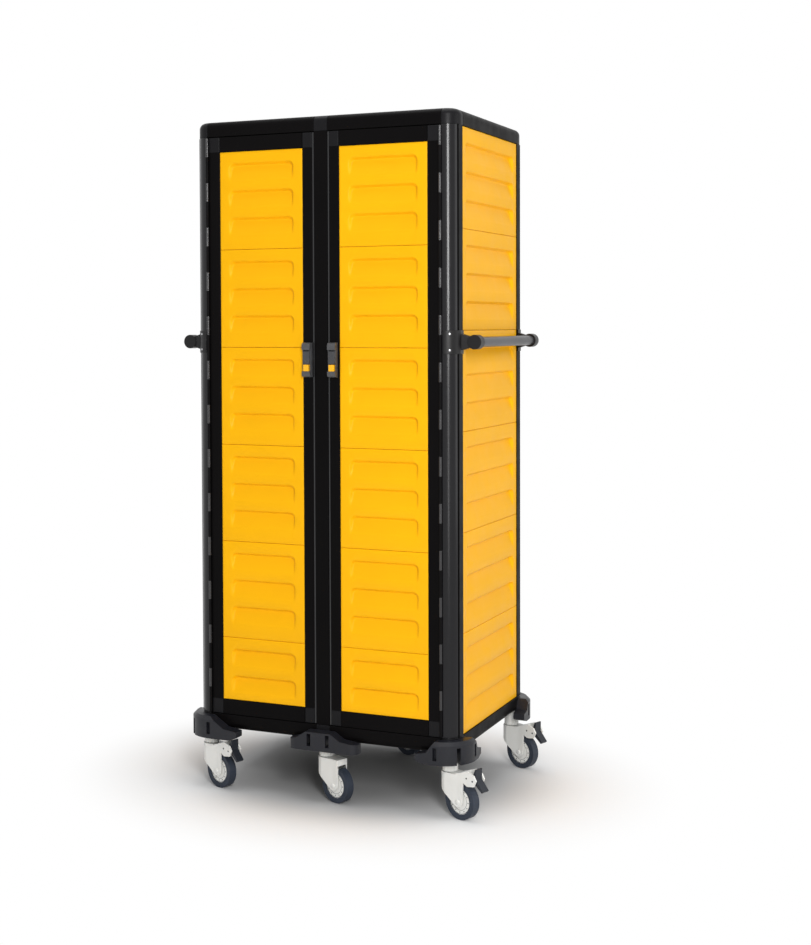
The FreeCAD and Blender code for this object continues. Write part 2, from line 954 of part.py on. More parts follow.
def centre_bumper():
    """Middle bumper: crown over the caster, a lower wing to each side."""
    left = -centre_bumper_left
    right = centre_bumper_right
    radius = centre_end_radius
    bend = radius * math.cos(math.radians(45.0))
    bend_y = outer_y + radius
    top = frame_underside + centre_bumper_rise
    shoulder = frame_underside + centre_shoulder_rise
    tip = frame_underside + centre_tip_rise
    body = upright(
        (left, front),
        [
            (left, bend_y),
            ((left + radius - bend, bend_y - bend), (left + radius, outer_y)),
            (right - radius, outer_y),
            ((right - radius + bend, bend_y - bend), (right, bend_y)),
            (right, front),
        ],
        bumper_bottom,
        top,
    )
    view = along_y(
        (left, bumper_bottom),
        [
            (right, bumper_bottom),
            (right, tip),
            (centre_shoulder_half, shoulder),
            (centre_crown_half, top),
            (-centre_crown_half, top),
            (-centre_shoulder_half, shoulder),
            (left, tip),
        ],
        outer_y,
        front,
    )
    slot = box(
        (centre_slot_spacing - slot_width) / 2.0,
        (centre_slot_spacing + slot_width) / 2.0,
        outer_y,
        front,
        slot_bottom,
        slot_top,
    )
    return body.common(view).cut([slot, flip_x(slot)])


left_bumper = flip_x(corner_bumper(left_wing_length))
right_bumper = corner_bumper(right_wing_length)
save("bumpers", front_and_back([left_bumper, right_bumper, centre_bumper()]))


# ------------------------------------------------------------------ casters
nose_tip_z = fork_top - nose_slope / 3.0
pedal_x = nose_reach - pedal_setback
pedal_z = fork_top - pedal_drop


def round_flats(cx, cz, radius, flats, half):
    """Many-sided disc about an axis along y."""
    corners = many_sided(cx, cz, radius, flats)
    return along_y(corners[0], corners[1:], -half, half)


def caster_stem():
    """Upper bearing housing under the frame, with the kingpin below it."""
    sides = many_sided(0.0, 0.0, housing_radius, housing_flat_count)
    housing = upright(sides[0], sides[1:], fork_top + housing_gap, frame_underside)
    kingpin = rod(
        kingpin_radius,
        Vector(0, 0, fork_top - kingpin_engagement),
        Vector(0, 0, fork_top + housing_gap),
    )
    return housing.fuse(kingpin)


def wheel_bore(radius, half):
    return rod(radius, Vector(trail, -half, wheel_radius), Vector(trail, half, wheel_radius))


def caster_hub():
    core = round_flats(trail, wheel_radius, hub_radius, hub_flat_count, hub_half_width)
    return core.cut(wheel_bore(axle_radius + axle_clearance, hub_half_width))


def caster_tyre():
    """Tread band that stands on a flat; the flats inside hold it on the hub."""
    half_step = 180.0 / wheel_flat_count
    corner_radius = wheel_radius / math.cos(math.radians(half_step))
    corners = many_sided(trail, wheel_radius, corner_radius, wheel_flat_count, half_step - 90.0)
    band = along_y(corners[0], corners[1:], -tyre_half_width, tyre_half_width)
    return band.cut(round_flats(trail, wheel_radius, hub_radius, hub_flat_count, tyre_half_width))


def tangent_angle(px, pz, side):
    """Direction from the axle to where an edge from (px, pz) meets the foot."""
    distance = math.hypot(px - trail, pz - wheel_radius)
    base = math.degrees(math.atan2(pz - wheel_radius, px - trail))
    return base + side * math.degrees(math.acos(fork_foot_radius / distance))


def fork_steps(braked):
    """Side view of a fork: round foot at the axle, brake housing at the nose."""
    heel = (-fork_head_radius / 8.0, fork_heel_height - fork_heel_rise)
    start_angle = tangent_angle(heel[0], heel[1], 1.0)
    end_angle = tangent_angle(fork_front_length, crown_bottom, -1.0) + 360.0
    steps = [(-fork_head_radius, fork_heel_height), heel]
    for corner in range(fork_foot_flat_count + 1):
        angle = start_angle + (end_angle - start_angle) * corner / fork_foot_flat_count
        steps.append(on_circle(trail, wheel_radius, fork_foot_radius, angle))
    guard = wheel_radius + tyre_clearance
    rise = math.sqrt(guard ** 2 - (fork_front_length - trail) ** 2)
    steps.append((fork_front_length, wheel_radius + rise))
    if braked:
        steps += [
            on_circle(trail, wheel_radius, guard, 55.0),
            (nose_reach - nose_slope / 2.0, nose_tip_z - nose_slope),
            (nose_reach, nose_tip_z),
            (nose_reach - nose_slope / 2.0, fork_top + nose_slope / 2.0),
            (nose_reach - fork_front_length / 2.0, fork_top + nose_slope),
            (fork_front_length / 2.0, fork_top),
        ]
    else:
        steps.append((fork_front_length, fork_top))
    return steps


def caster_fork(braked):
    leg = fork_half_gap + fork_plate
    side = fork_head_radius
    room = nose_reach + fork_plate
    fork = along_y((-side, fork_top), fork_steps(braked), -side, side)
    quarter = fork_head_flat_count // 4
    heel = many_sided(0.0, 0.0, side, fork_head_flat_count)[quarter:3 * quarter + 1]
    plan_view = upright(
        heel[0],
        heel[1:] + [(trail, -leg), (room, -leg), (room, leg), (trail, leg)],
        0.0,
        fork_top + nose_slope,
    )
    guard = wheel_radius + tyre_clearance
    tyre_room = round_flats(trail, wheel_radius, guard, hub_flat_count, fork_half_gap)
    below = box(-side, room, -fork_half_gap, fork_half_gap, 0.0, fork_heel_height - fork_heel_rise)
    pedal_room = box(
        fork_front_length,
        room,
        -fork_half_gap,
        fork_half_gap,
        0.0,
        fork_top + nose_slope,
    )
    bore = rod(
        kingpin_radius + kingpin_clearance,
        Vector(0, 0, fork_heel_height),
        Vector(0, 0, fork_top),
    )
    fork = fork.common(plan_view).cut([tyre_room, below, pedal_room, bore])
    axle = wheel_bore(axle_radius, fork_half_gap)
    if braked:
        pin = rod(
            pedal_pin_radius,
            Vector(pedal_x, -fork_half_gap, pedal_z),
            Vector(pedal_x, fork_half_gap, pedal_z),
        )
        fork = fork.fuse(pin)
    return [fork, axle]


def brake_pedal():
    """Bent plate on a pin: a release tab above the eye, a foot tread below."""
    plate = pedal_plate
    eye = pedal_pin_radius + plate
    tab_x = pedal_x + pedal_tab_lean
    tab_z = pedal_z + pedal_tab_height
    tread_x = pedal_x + pedal_tread_reach
    tread_z = pedal_z - pedal_tread_drop
    blade = along_y(
        (tab_x - plate, tab_z),
        [
            (pedal_x - eye, pedal_z + eye / 2.0),
            (pedal_x - eye, pedal_z - eye / 2.0),
            (pedal_x, pedal_z - eye),
            (tread_x - plate, tread_z),
            (tread_x, tread_z + plate),
            (pedal_x + eye, pedal_z + eye / 2.0),
            (tab_x, tab_z),
        ],
        -pedal_half_width,
        pedal_half_width,
    )
    bore = rod(
        pedal_pin_radius + pedal_pin_clearance,
        Vector(pedal_x, -pedal_half_width, pedal_z),
        Vector(pedal_x, pedal_half_width, pedal_z),
    )
    return blade.cut(bore)


def placed(solids, x, y):
    result = []
    for solid in solids:
        moved = solid.copy()
        moved.rotate(Vector(0, 0, 0), Z_AXIS, caster_turn)
        moved.translate(Vector(x, y, 0))
        result.append(moved)
    return result


stations = {
    "front_left": (-caster_x, -caster_y, True),
    "front_centre": (0.0, -caster_y, False),
    "front_right": (caster_x, -caster_y, True),
    "rear_left": (-caster_x, caster_y, True),
    "rear_centre": (0.0, caster_y, False),
    "rear_right": (caster_x, caster_y, True),
}
stems = []
for station, (x, y, braked) in stations.items():
    stems += placed([caster_stem()], x, y)
    save("caster_fork_" + station, placed(caster_fork(braked), x, y))
    save("caster_hub_" + station, placed([caster_hub()], x, y))
    save("caster_tyre_" + station, placed([caster_tyre()], x, y))
    if braked:
        save("brake_pedal_" + station, placed([brake_pedal()], x, y))
save("caster_stems", stems)
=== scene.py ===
import bpy
import bmesh
import json
import math
from mathutils import Matrix, Vector


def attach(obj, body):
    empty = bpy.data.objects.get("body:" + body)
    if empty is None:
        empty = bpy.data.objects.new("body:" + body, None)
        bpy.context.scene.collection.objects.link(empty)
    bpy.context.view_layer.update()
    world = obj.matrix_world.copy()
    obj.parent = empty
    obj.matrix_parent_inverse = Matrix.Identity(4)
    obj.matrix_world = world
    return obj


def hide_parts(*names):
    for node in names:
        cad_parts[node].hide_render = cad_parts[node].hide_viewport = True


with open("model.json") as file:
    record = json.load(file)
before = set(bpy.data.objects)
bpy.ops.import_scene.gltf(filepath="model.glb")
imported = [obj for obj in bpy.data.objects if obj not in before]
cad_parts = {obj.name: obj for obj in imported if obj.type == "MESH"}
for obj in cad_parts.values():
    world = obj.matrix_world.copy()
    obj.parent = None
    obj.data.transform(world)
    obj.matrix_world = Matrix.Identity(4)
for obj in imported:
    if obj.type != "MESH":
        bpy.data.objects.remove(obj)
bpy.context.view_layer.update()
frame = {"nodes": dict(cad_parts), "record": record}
nodes = frame["nodes"]
scene = bpy.context.scene
MM = 0.001

# ------------------------------------------------------------------ camera
# Solved from the cabinet's edges on a frame 945 px high; lengths in pixels, place in metres.
FRAME_H = 945
FOCAL_PX = 1495.16
CENTRE_ROW = 374.54
SENSOR_MM = 36.0
CAMERA_PLACE = (1.8121, -3.9550, 1.3155)
right = Vector((0.920496, 0.390740, -0.002962)).normalized()
up = Vector((-0.010189, 0.031579, 0.999449)).normalized()
ahead = Vector((-0.390619, 0.919959, -0.033050)).normalized()
camera_data = bpy.data.cameras.new("camera")
camera_data.sensor_width = SENSOR_MM
camera_data.sensor_fit = "AUTO"
camera_data.lens = SENSOR_MM * FOCAL_PX / FRAME_H
camera_data.shift_y = (CENTRE_ROW - FRAME_H / 2.0) / FRAME_H
camera = bpy.data.objects.new("camera", camera_data)
scene.collection.objects.link(camera)
turn = Matrix((right, up, -ahead)).transposed().to_4x4()
camera.matrix_world = Matrix.Translation(CAMERA_PLACE) @ turn
scene.camera = camera
scene.view_settings.view_transform = "Standard"


# ------------------------------------------------------------------ materials
def noise(tree, coords, scale, detail, roughness):
    """Value of a noise texture."""
    node = tree.nodes.new("ShaderNodeTexNoise")
    node.inputs["Scale"].default_value = scale
    node.inputs["Detail"].default_value = detail
    node.inputs["Roughness"].default_value = roughness
    tree.links.new(coords, node.inputs["Vector"])
    return node.outputs["Fac"]


def spread(tree, value, low, high, start=0.3, end=0.7):
    """Maps the value's range from start to end onto low to high."""
    node = tree.nodes.new("ShaderNodeMapRange")
    node.inputs["From Min"].default_value = start
    node.inputs["From Max"].default_value = end
    node.inputs["To Min"].default_value = low
    node.inputs["To Max"].default_value = high
    tree.links.new(value, node.inputs["Value"])
    return node.outputs["Result"]


def moulded(
    name,
    colour,
    roughness,
    tone=0.05,
    tone_scale=4.0,
    grain_scale=1400.0,
    grain=0.12,
    smear=0.05,
    specular=0.5,
    metallic=0.0,
    dust=0.0,
    dust_colour=(0.45, 0.43, 0.40),
    wave=0.0,
    wave_scale=9.0,
):
    """Moulded, coated or turned surface: faint tone drift, fine grain, patchy gloss."""
    material = bpy.data.materials.new(name)
    material.use_nodes = True
    tree = material.node_tree
    shader = tree.nodes["Principled BSDF"]
    coords = tree.nodes.new("ShaderNodeTexCoord").outputs["Object"]
    drift = noise(tree, coords, tone_scale, 4.0, 0.55)
    ramp = tree.nodes.new("ShaderNodeValToRGB")
    ramp.color_ramp.elements[0].position = 0.32
    ramp.color_ramp.elements[1].position = 0.68
    ramp.color_ramp.elements[0].color = [c * (1.0 - tone) for c in colour] + [1.0]
    ramp.color_ramp.elements[1].color = [min(1.0, c * (1.0 + tone)) for c in colour] + [1.0]
    tree.links.new(drift, ramp.inputs["Fac"])
    base = ramp.outputs["Color"]
    if dust > 0.0:
        speck = noise(tree, coords, 38.0, 6.0, 0.7)
        mask = spread(tree, speck, 0.0, dust, 0.56, 0.80)
        blend = tree.nodes.new("ShaderNodeMix")
        blend.data_type = "RGBA"
        tree.links.new(mask, blend.inputs["Factor"])
        tree.links.new(base, blend.inputs["A"])
        blend.inputs["B"].default_value = list(dust_colour) + [1.0]
        base = blend.outputs["Result"]
    tree.links.new(base, shader.inputs["Base Color"])
    patch = noise(tree, coords, 23.0, 5.0, 0.6)
    gloss = spread(tree, patch, max(0.02, roughness - smear), min(1.0, roughness + smear))
    tree.links.new(gloss, shader.inputs["Roughness"])
    fine = noise(tree, coords, grain_scale, 2.0, 0.6)
    bump = tree.nodes.new("ShaderNodeBump")
    bump.inputs["Strength"].default_value = grain
    bump.inputs["Distance"].default_value = 0.0002
    tree.links.new(fine, bump.inputs["Height"])
    if wave > 0.0:
        swell = noise(tree, coords, wave_scale, 2.0, 0.4)
        slow = tree.nodes.new("ShaderNodeBump")
        slow.inputs["Strength"].default_value = wave
        slow.inputs["Distance"].default_value = 0.004
        tree.links.new(swell, slow.inputs["Height"])
        tree.links.new(slow.outputs["Normal"], bump.inputs["Normal"])
    tree.links.new(bump.outputs["Normal"], shader.inputs["Normal"])
    shader.inputs["Metallic"].default_value = metallic
    shader.inputs["Specular IOR Level"].default_value = specular
    return material


yellow = moulded(
    "yellow_moulding", (0.93, 0.46, 0.002), 0.42, tone=0.03, tone_scale=3.0,
    grain=0.08, smear=0.06, specular=0.13, wave=0.10, wave_scale=7.0,
)
button_yellow = moulded(
    "yellow_button", (0.92, 0.46, 0.01), 0.28, tone=0.03, grain=0.05, specular=0.4
)
black = moulded(
    "black_coating", (0.0030, 0.0026, 0.0027), 0.40, tone=0.2, tone_scale=2.5,
    grain_scale=700.0, grain=0.08, smear=0.07, specular=0.045,
)
nose_black = moulded(
    "black_gloss", (0.0048, 0.0046, 0.0058), 0.19, tone=0.15, tone_scale=2.5,
    grain_scale=500.0, grain=0.0, smear=0.02, specular=0.30,
)
black_cap = moulded(
    "black_moulding", (0.0068, 0.0066, 0.0076), 0.38, tone=0.15, grain=0.12,
    smear=0.07, specular=0.12,
)
charcoal = moulded(
    "charcoal_moulding", (0.0115, 0.0120, 0.0160), 0.38, tone=0.10, tone_scale=9.0,
    grain_scale=1000.0, grain=0.22, smear=0.08, specular=0.30, dust=0.03,
)
white = moulded(
    "white_nylon", (0.80, 0.80, 0.77), 0.33, tone=0.03, tone_scale=14.0,
    grain=0.05, smear=0.06, specular=0.40, dust=0.04,
)
tread = moulded(
    "grey_tread", (0.030, 0.038, 0.055), 0.55, tone=0.15, tone_scale=30.0,
    grain_scale=900.0, grain=0.25, smear=0.08, specular=0.25, dust=0.22,
    dust_colour=(0.12, 0.12, 0.12),
)
pedal_black = moulded(
    "pedal_plastic", (0.018, 0.021, 0.028), 0.42, tone=0.12, grain=0.2,
    specular=0.3, dust=0.04,
)
seal_grey = moulded(
    "seal_rubber", (0.010, 0.010, 0.011), 0.16, tone=0.08, tone_scale=12.0,
    grain=0.08, smear=0.05, specular=0.55,
)
hinge_black = moulded(
    "hinge_coating", (0.012, 0.011, 0.012), 0.20, tone=0.2, grain=0.04,
    smear=0.05, specular=0.6,
)
# Door knuckles: the hinge finish with a darker colour as painted shade, so they read as
# recessed beside the glossy post knuckles, though both have the same barrel radius.
hinge_painted_shade = moulded(
    "hinge_shaded_knuckle", (0.0035, 0.0032, 0.0034), 0.55, tone=0.2, grain=0.1, specular=0.06
)
steel = moulded(
    "plain_steel", (0.55, 0.55, 0.56), 0.30, tone=0.05, tone_scale=60.0,
    grain_scale=1600.0, grain=0.08, smear=0.08, metallic=1.0,
)
latch_grey = moulded(
    "latch_moulding", (0.062, 0.062, 0.066), 0.30, tone=0.10, tone_scale=45.0,
    grain=0.14, specular=0.5,
)
lever_grey = moulded(
    "lever_moulding", (0.040, 0.041, 0.045), 0.26, tone=0.12, tone_scale=60.0,
    grain=0.12, specular=0.5,
)
tube_grey = moulded(
    "tube_coating", (0.042, 0.042, 0.046), 0.33, tone=0.08, tone_scale=10.0,
    grain_scale=800.0, grain=0.10, specular=0.35,
)
socket_black = moulded(
    "socket_moulding", (0.007, 0.0066, 0.007), 0.36, tone=0.15, grain=0.14,
    smear=0.08, specular=0.25,
)
sheet = moulded(
    "sheet_coating", (0.011, 0.010, 0.011), 0.45, tone=0.2, grain=0.15, specular=0.3
)
liner = moulded(
    "liner_moulding", (0.40, 0.41, 0.42), 0.45, tone=0.05, grain=0.12, specular=0.4
)

finish_of = {
    "caster_white": white,
    "tyre_rubber": tread,
    "brake_plastic": pedal_black,
    "black_frame": black,
    "black_moulding": black_cap,
    "yellow_panel": yellow,
    "grey_seal": seal_grey,
    "hinge_metal": hinge_black,
    "yellow_button": button_yellow,
    "steel": steel,
    "grey_latch": latch_grey,
    "grey_tube": tube_grey,
    "charcoal_bumper": charcoal,
    "sheet_metal": sheet,
    "liner_plastic": liner,
}
slot_of = {part["node"]: part["material_slot"] for part in frame["record"]["subparts"]}
for node, obj in nodes.items():
    obj.data.materials.clear()
    obj.data.materials.append(finish_of[slot_of[node]])
for node in ("handle_sockets", "post_clamps"):
    nodes[node].data.materials[0] = socket_black
for node in ("latch_lever_right", "latch_lever_left"):
    nodes[node].data.materials[0] = lever_grey


# ------------------------------------------------------------------ helpers
def soften(names, width, segments=3, angle=28.0):
    """Joins the facets of CAD nodes and rounds their sharp edges."""
    for name in names:
        obj = nodes[name]
        weld = obj.modifiers.new("weld", "WELD")
        weld.merge_threshold = 0.00002
        flats = obj.modifiers.new("flats", "DECIMATE")
        flats.decimate_type = "DISSOLVE"
        flats.angle_limit = math.radians(0.5)
        bevel = obj.modifiers.new("bevel", "BEVEL")
        bevel.width = width * MM
        bevel.segments = segments
        bevel.limit_method = "ANGLE"
        bevel.angle_limit = math.radians(angle)
        bevel.harden_normals = False
        bevel.use_clamp_overlap = True
        even = obj.modifiers.new("even", "WEIGHTED_NORMAL")
        even.keep_sharp = True


def piece(name, verts, faces, material, body, slot, replaced=(), angle=40.0):
    """New mesh object from millimetre points, riding on a body."""
    mesh = bpy.data.meshes.new(name)
    mesh.from_pydata([(x * MM, y * MM, z * MM) for x, y, z in verts], [], faces)
    made = bmesh.new()
    made.from_mesh(mesh)
    bmesh.ops.recalc_face_normals(made, faces=made.faces)
    made.to_mesh(mesh)
    made.free()
    mesh.materials.append(material)
    for face in mesh.polygons:
        face.use_smooth = True
    mesh.set_sharp_from_angle(angle=math.radians(angle))
    obj = bpy.data.objects.new(name, mesh)
    scene.collection.objects.link(obj)
    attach(obj, body)
    if replaced:
        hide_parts(*replaced)
    return obj


def join(parts):
    """One list of points and faces from several."""
    verts, faces = [], []
    for some_verts, some_faces in parts:
        base = len(verts)
        verts += some_verts
        faces += [tuple(base + index for index in face) for face in some_faces]
    return verts, faces


def moved(part, change):
    """Part with each of its points passed through a function."""
    verts, faces = part
    return [change(*vert) for vert in verts], faces


def bridge(rings, closed_loop=False):
    """Quads between like rings of points, with flat ends unless the rings form a loop."""
    count = len(rings[0])
    verts = [vert for ring in rings for vert in ring]
    faces = []
    spans = len(rings) if closed_loop else len(rings) - 1
    for ring in range(spans):
        after = (ring + 1) % len(rings)
        for index in range(count):
            nxt = (index + 1) % count
            low, high = ring * count, after * count
            faces.append((low + index, low + nxt, high + nxt, high + index))
    if not closed_loop:
        faces.append(tuple(range(count)))
        faces.append(tuple(range((len(rings) - 1) * count, len(rings) * count)))
    return verts, faces


def lathe(profile, segments=48):
    """Closed (radius, height) outline turned about the z axis."""
    rings = []
    for step in range(segments):
        angle = 2.0 * math.pi * step / segments
        rings.append([(r * math.cos(angle), r * math.sin(angle), z) for r, z in profile])
    return bridge(rings, closed_loop=True)


def turned(profile, segments=48):
    """Solid of revolution whose (radius, height) outline starts and ends on the axis."""
    inner = profile[1:-1]
    count = len(inner)
    verts, faces = lathe(inner, segments)
    faces = [face for index, face in enumerate(faces) if index % count != count - 1]
    low = len(verts)
    verts += [(0.0, 0.0, profile[0][1]), (0.0, 0.0, profile[-1][1])]
    for step in range(segments):
        after = (step + 1) % segments
        faces.append((low, after * count, step * count))
        faces.append((low + 1, step * count + count - 1, after * count + count - 1))
    return verts, faces


def block(x0, x1, y0, y1, z0, z1):
    """Closed box between two corners."""
    verts = [
        (x0, y0, z0), (x1, y0, z0), (x1, y1, z0), (x0, y1, z0),
        (x0, y0, z1), (x1, y0, z1), (x1, y1, z1), (x0, y1, z1),
    ]
    faces = [(0, 1, 2, 3), (4, 5, 6, 7), (0, 1, 5, 4), (1, 2, 6, 5), (2, 3, 7, 6), (3, 0, 4, 7)]
    return verts, faces


def rounded(obj, width, segments=2, angle=35.0):
    """Rounds the sharp edges of a new piece."""
    bevel = obj.modifiers.new("bevel", "BEVEL")
    bevel.width = width * MM
    bevel.segments = segments
    bevel.limit_method = "ANGLE"
    bevel.angle_limit = math.radians(angle)
    even = obj.modifiers.new("even", "WEIGHTED_NORMAL")
    even.keep_sharp = True


def ease(value):
    """Smooth step from 0 to 1."""
    value = min(1.0, max(0.0, value))
    return value * value * (3.0 - 2.0 * value)


# ------------------------------------------------------------------ louvred panels
MODULE_EDGE = 1.8
PANEL_DEPTH = 16.0
POCKET_MARGIN = 27.0
POCKET_HEIGHT = 52.0
POCKET_PITCH = 76.0
POCKET_DEPTH = 12.5
POCKET_CORNER = 18.0
POCKET_EDGE = 9.0
FLAT_BORDER = 8.0
FLOOR_SHARES = (0.48, 0.6, 0.72, 0.84, 0.93, 1.0)
MIDDLE_SHARES = (0.3, 0.42, 0.5, 0.58, 0.7)
FINE_STEPS = (0.0, 1.2, 2.6, 4.2, 6.0, 7.8, 9.6, 11.6, 14.0, 18.5)


def pocket_depth(across, down, width):
    """Depth of a pocket that is steep at the top and both ends and runs out below."""
    side = min(across - POCKET_MARGIN, width - POCKET_MARGIN - across)
    if side <= 0.0 or down <= 0.0 or down >= POCKET_HEIGHT:
        return 0.0
    inside = min(side, down)
    if side < POCKET_CORNER and down < POCKET_CORNER:
        inside = POCKET_CORNER - math.hypot(POCKET_CORNER - side, POCKET_CORNER - down)
    if inside <= 0.0:
        return 0.0
    share = down / POCKET_HEIGHT
    slope = (1.0 - share ** 1.5) * (1.0 - 0.25 * share)
    return POCKET_DEPTH * ease(inside / POCKET_EDGE) * slope


def edge_drop(distance):
    """Fall of a module's rounded border."""
    if distance >= MODULE_EDGE:
        return 0.0
    rest = 1.0 - distance / MODULE_EDGE
    return MODULE_EDGE * (1.0 - math.sqrt(max(0.0, 1.0 - rest * rest)))


def module_stack(width, modules, first, seam=0.35):
    """Louvred modules below each other; points are (across, down, inward)."""
    parts = []
    border = [seam, seam + 0.3, seam + 0.8, seam + MODULE_EDGE]
    near = border + [FLAT_BORDER] + [POCKET_MARGIN + step for step in FINE_STEPS]
    middle = [width * share for share in MIDDLE_SHARES]
    xs = near + middle + [width - value for value in reversed(near)]
    top = 0.0
    for height, count in modules:
        ys = [top + value for value in border]
        for index in range(count):
            start = top + first + index * POCKET_PITCH
            ys += [start + step for step in FINE_STEPS]
            ys += [start + POCKET_HEIGHT * share for share in FLOOR_SHARES]
        ys += [top + height - value for value in reversed(border)]
        rows = []
        for y in ys:
            row = []
            for x in xs:
                deep = 0.0
                for index in range(count):
                    start = top + first + index * POCKET_PITCH
                    deep += pocket_depth(x, y - start, width)
                edge = min(x, width - x, y - top, top + height - y) - seam
                row.append((x, y, deep + edge_drop(max(0.0, edge))))
            rows.append(row)
        wide, tall = len(xs), len(rows)
        verts = [vert for row in rows for vert in row]
        faces = []
        for j in range(tall - 1):
            for i in range(wide - 1):
                a = j * wide + i
                faces.append((a, a + 1, a + wide + 1, a + wide))
        rim = list(range(wide))
        rim += [j * wide + wide - 1 for j in range(1, tall)]
        rim += [(tall - 1) * wide + i for i in range(wide - 2, -1, -1)]
        rim += [j * wide for j in range(tall - 2, 0, -1)]
        base = len(verts)
        verts += [(verts[index][0], verts[index][1], PANEL_DEPTH) for index in rim]
        for k in range(len(rim)):
            after = (k + 1) % len(rim)
            faces.append((rim[k], rim[after], base + after, base + k))
        faces.append(tuple(range(base, base + len(rim))))
        parts.append((verts, faces))
        top += height
    return join(parts)


DOOR_PANEL_TOP = 1801.5
DOOR_PANEL_WIDTH = 259.0
DOOR_PANEL_MID = 185.0
DOOR_PANEL_FACE = -276.5
DOOR_FIRST_POCKET = 31.0
door_modules = [(273.5, 3)] * 5 + [(177.5, 2)]
for side, sign in (("right", 1.0), ("left", -1.0)):
    door_stack = moved(
        module_stack(DOOR_PANEL_WIDTH, door_modules, DOOR_FIRST_POCKET),
        lambda u, v, w, sign=sign: (
            sign * DOOR_PANEL_MID + u - DOOR_PANEL_WIDTH / 2.0,
            DOOR_PANEL_FACE + w,
            DOOR_PANEL_TOP - v,
        ),
    )
    piece(
        "door_louvres_" + side, *door_stack, yellow, "door_" + side, "yellow_panel",
        replaced=("door_panels_" + side,), angle=50.0,
    )

WALL_TOP = 1845.0
WALL_FIRST_POCKET = 40.0
SIDE_WIDTH = 448.0
SIDE_PLANE = 392.5
REAR_WIDTH = 334.0
REAR_MID = 187.0
REAR_PLANE = 276.5
wall_modules = [(272.0, 3)] * 6
side_stack = module_stack(SIDE_WIDTH, wall_modules, WALL_FIRST_POCKET)
side_stacks = [
    moved(side_stack, lambda u, v, w: (SIDE_PLANE - w, u - SIDE_WIDTH / 2.0, WALL_TOP - v)),
    moved(side_stack, lambda u, v, w: (w - SIDE_PLANE, SIDE_WIDTH / 2.0 - u, WALL_TOP - v)),
]
piece(
    "side_louvres", *join(side_stacks), yellow, "cabinet", "yellow_panel",
    replaced=("side_panels",), angle=50.0,
)
rear_stack = module_stack(REAR_WIDTH, wall_modules, WALL_FIRST_POCKET)
rear_stacks = [
    moved(rear_stack, lambda u, v, w, mid=mid: (
        mid + REAR_WIDTH / 2.0 - u, REAR_PLANE - w, WALL_TOP - v,
    ))
    for mid in (REAR_MID, -REAR_MID)
]
piece(
    "rear_louvres", *join(rear_stacks), yellow, "cabinet", "yellow_panel",
    replaced=("rear_panels",), angle=50.0,
)


# ------------------------------------------------------------------ corner posts
POST_LOW = 213.0
POST_HIGH = 1845.0
NOSE_X = 354.0
NOSE_Y = -236.0
NOSE_R = 42.0
NOSE_SWEEP = 62.0
NOSE_STEPS = 24
NOSE_GROOVE = 2.8
FLANGE_X = 394.5
FLANGE_ROUND = 0.5
POST_BACK = -224.0
STOP_REACH = 14.0
STOP_FRONT = -246.7
STOP_BACK = -241.0


def corner_section():
    """Outline of the front right post, and how many of its points lie on the nose."""
    points = []
    for step in range(NOSE_STEPS + 1):
        angle = math.radians(-90.0 + NOSE_SWEEP * step / NOSE_STEPS)
        points.append((NOSE_X + NOSE_R * math.cos(angle), NOSE_Y + NOSE_R * math.sin(angle)))
    nose = len(points)
    end_x, end_y = points[-1]
    flange_y = end_y + NOSE_GROOVE
    points += [
        (end_x, flange_y),
        (FLANGE_X - FLANGE_ROUND, flange_y),
        (FLANGE_X, flange_y + FLANGE_ROUND),
        (FLANGE_X, POST_BACK),
        (NOSE_X, POST_BACK),
    ]
    return points, nose


section, nose_count = corner_section()
post_verts, post_faces, nose_flags = [], [], []
for sx in (1.0, -1.0):
    for sy in (1.0, -1.0):
        low = [(sx * x, sy * y, POST_LOW) for x, y in section]
        high = [(sx * x, sy * y, POST_HIGH) for x, y in section]
        shell, walls = bridge([low, high])
        base = len(post_verts)
        post_verts += shell
        post_faces += [tuple(base + index for index in face) for face in walls]
        nose_flags += [index < nose_count - 1 for index in range(len(walls))]
corner_piece = piece(
    "corner_mouldings", post_verts, post_faces, black, "cabinet", "black_frame",
    replaced=("corner_posts",), angle=30.0,
)
corner_piece.data.materials.append(nose_black)
for face, on_nose in zip(corner_piece.data.polygons, nose_flags):
    face.material_index = 1 if on_nose else 0
stops = []
for sx in (1.0, -1.0):
    for y0, y1 in ((STOP_FRONT, STOP_BACK), (-STOP_BACK, -STOP_FRONT)):
        near, far = sorted((sx * (NOSE_X - STOP_REACH), sx * NOSE_X))
        stops.append(block(near, far, y0, y1, POST_LOW, POST_HIGH))
stop_piece = piece(
    "corner_stops", *join(stops), black, "cabinet", "black_frame", replaced=("corner_posts",)
)
rounded(stop_piece, 0.8)


# ------------------------------------------------------------------ hinges
HINGE_X = 352.25
HINGE_Y = -282.2
HINGE_LOW = 217.0
HINGE_PITCH = 125.0
HINGE_RUN = 53.0
HINGE_COUNT = 13
HINGE_TOP = 1841.0
KNUCKLE_R = 4.0
KNUCKLE_GAP = 0.4
LEAF_FRONT = -278.0
LEAF_BACK = -254.0
LEAF_LAP = 0.1
DOOR_LEAF_X = (350.5, 351.7)
POST_LEAF_X = (352.8, 354.0)


def knuckle(low, high, radius):
    """Barrel of one hinge run with chamfered ends."""
    cap = 0.5
    return turned([
        (0.0, low), (radius - cap, low), (radius, low + cap), (radius, high - cap),
        (radius - cap, high), (0.0, high),
    ], 24)


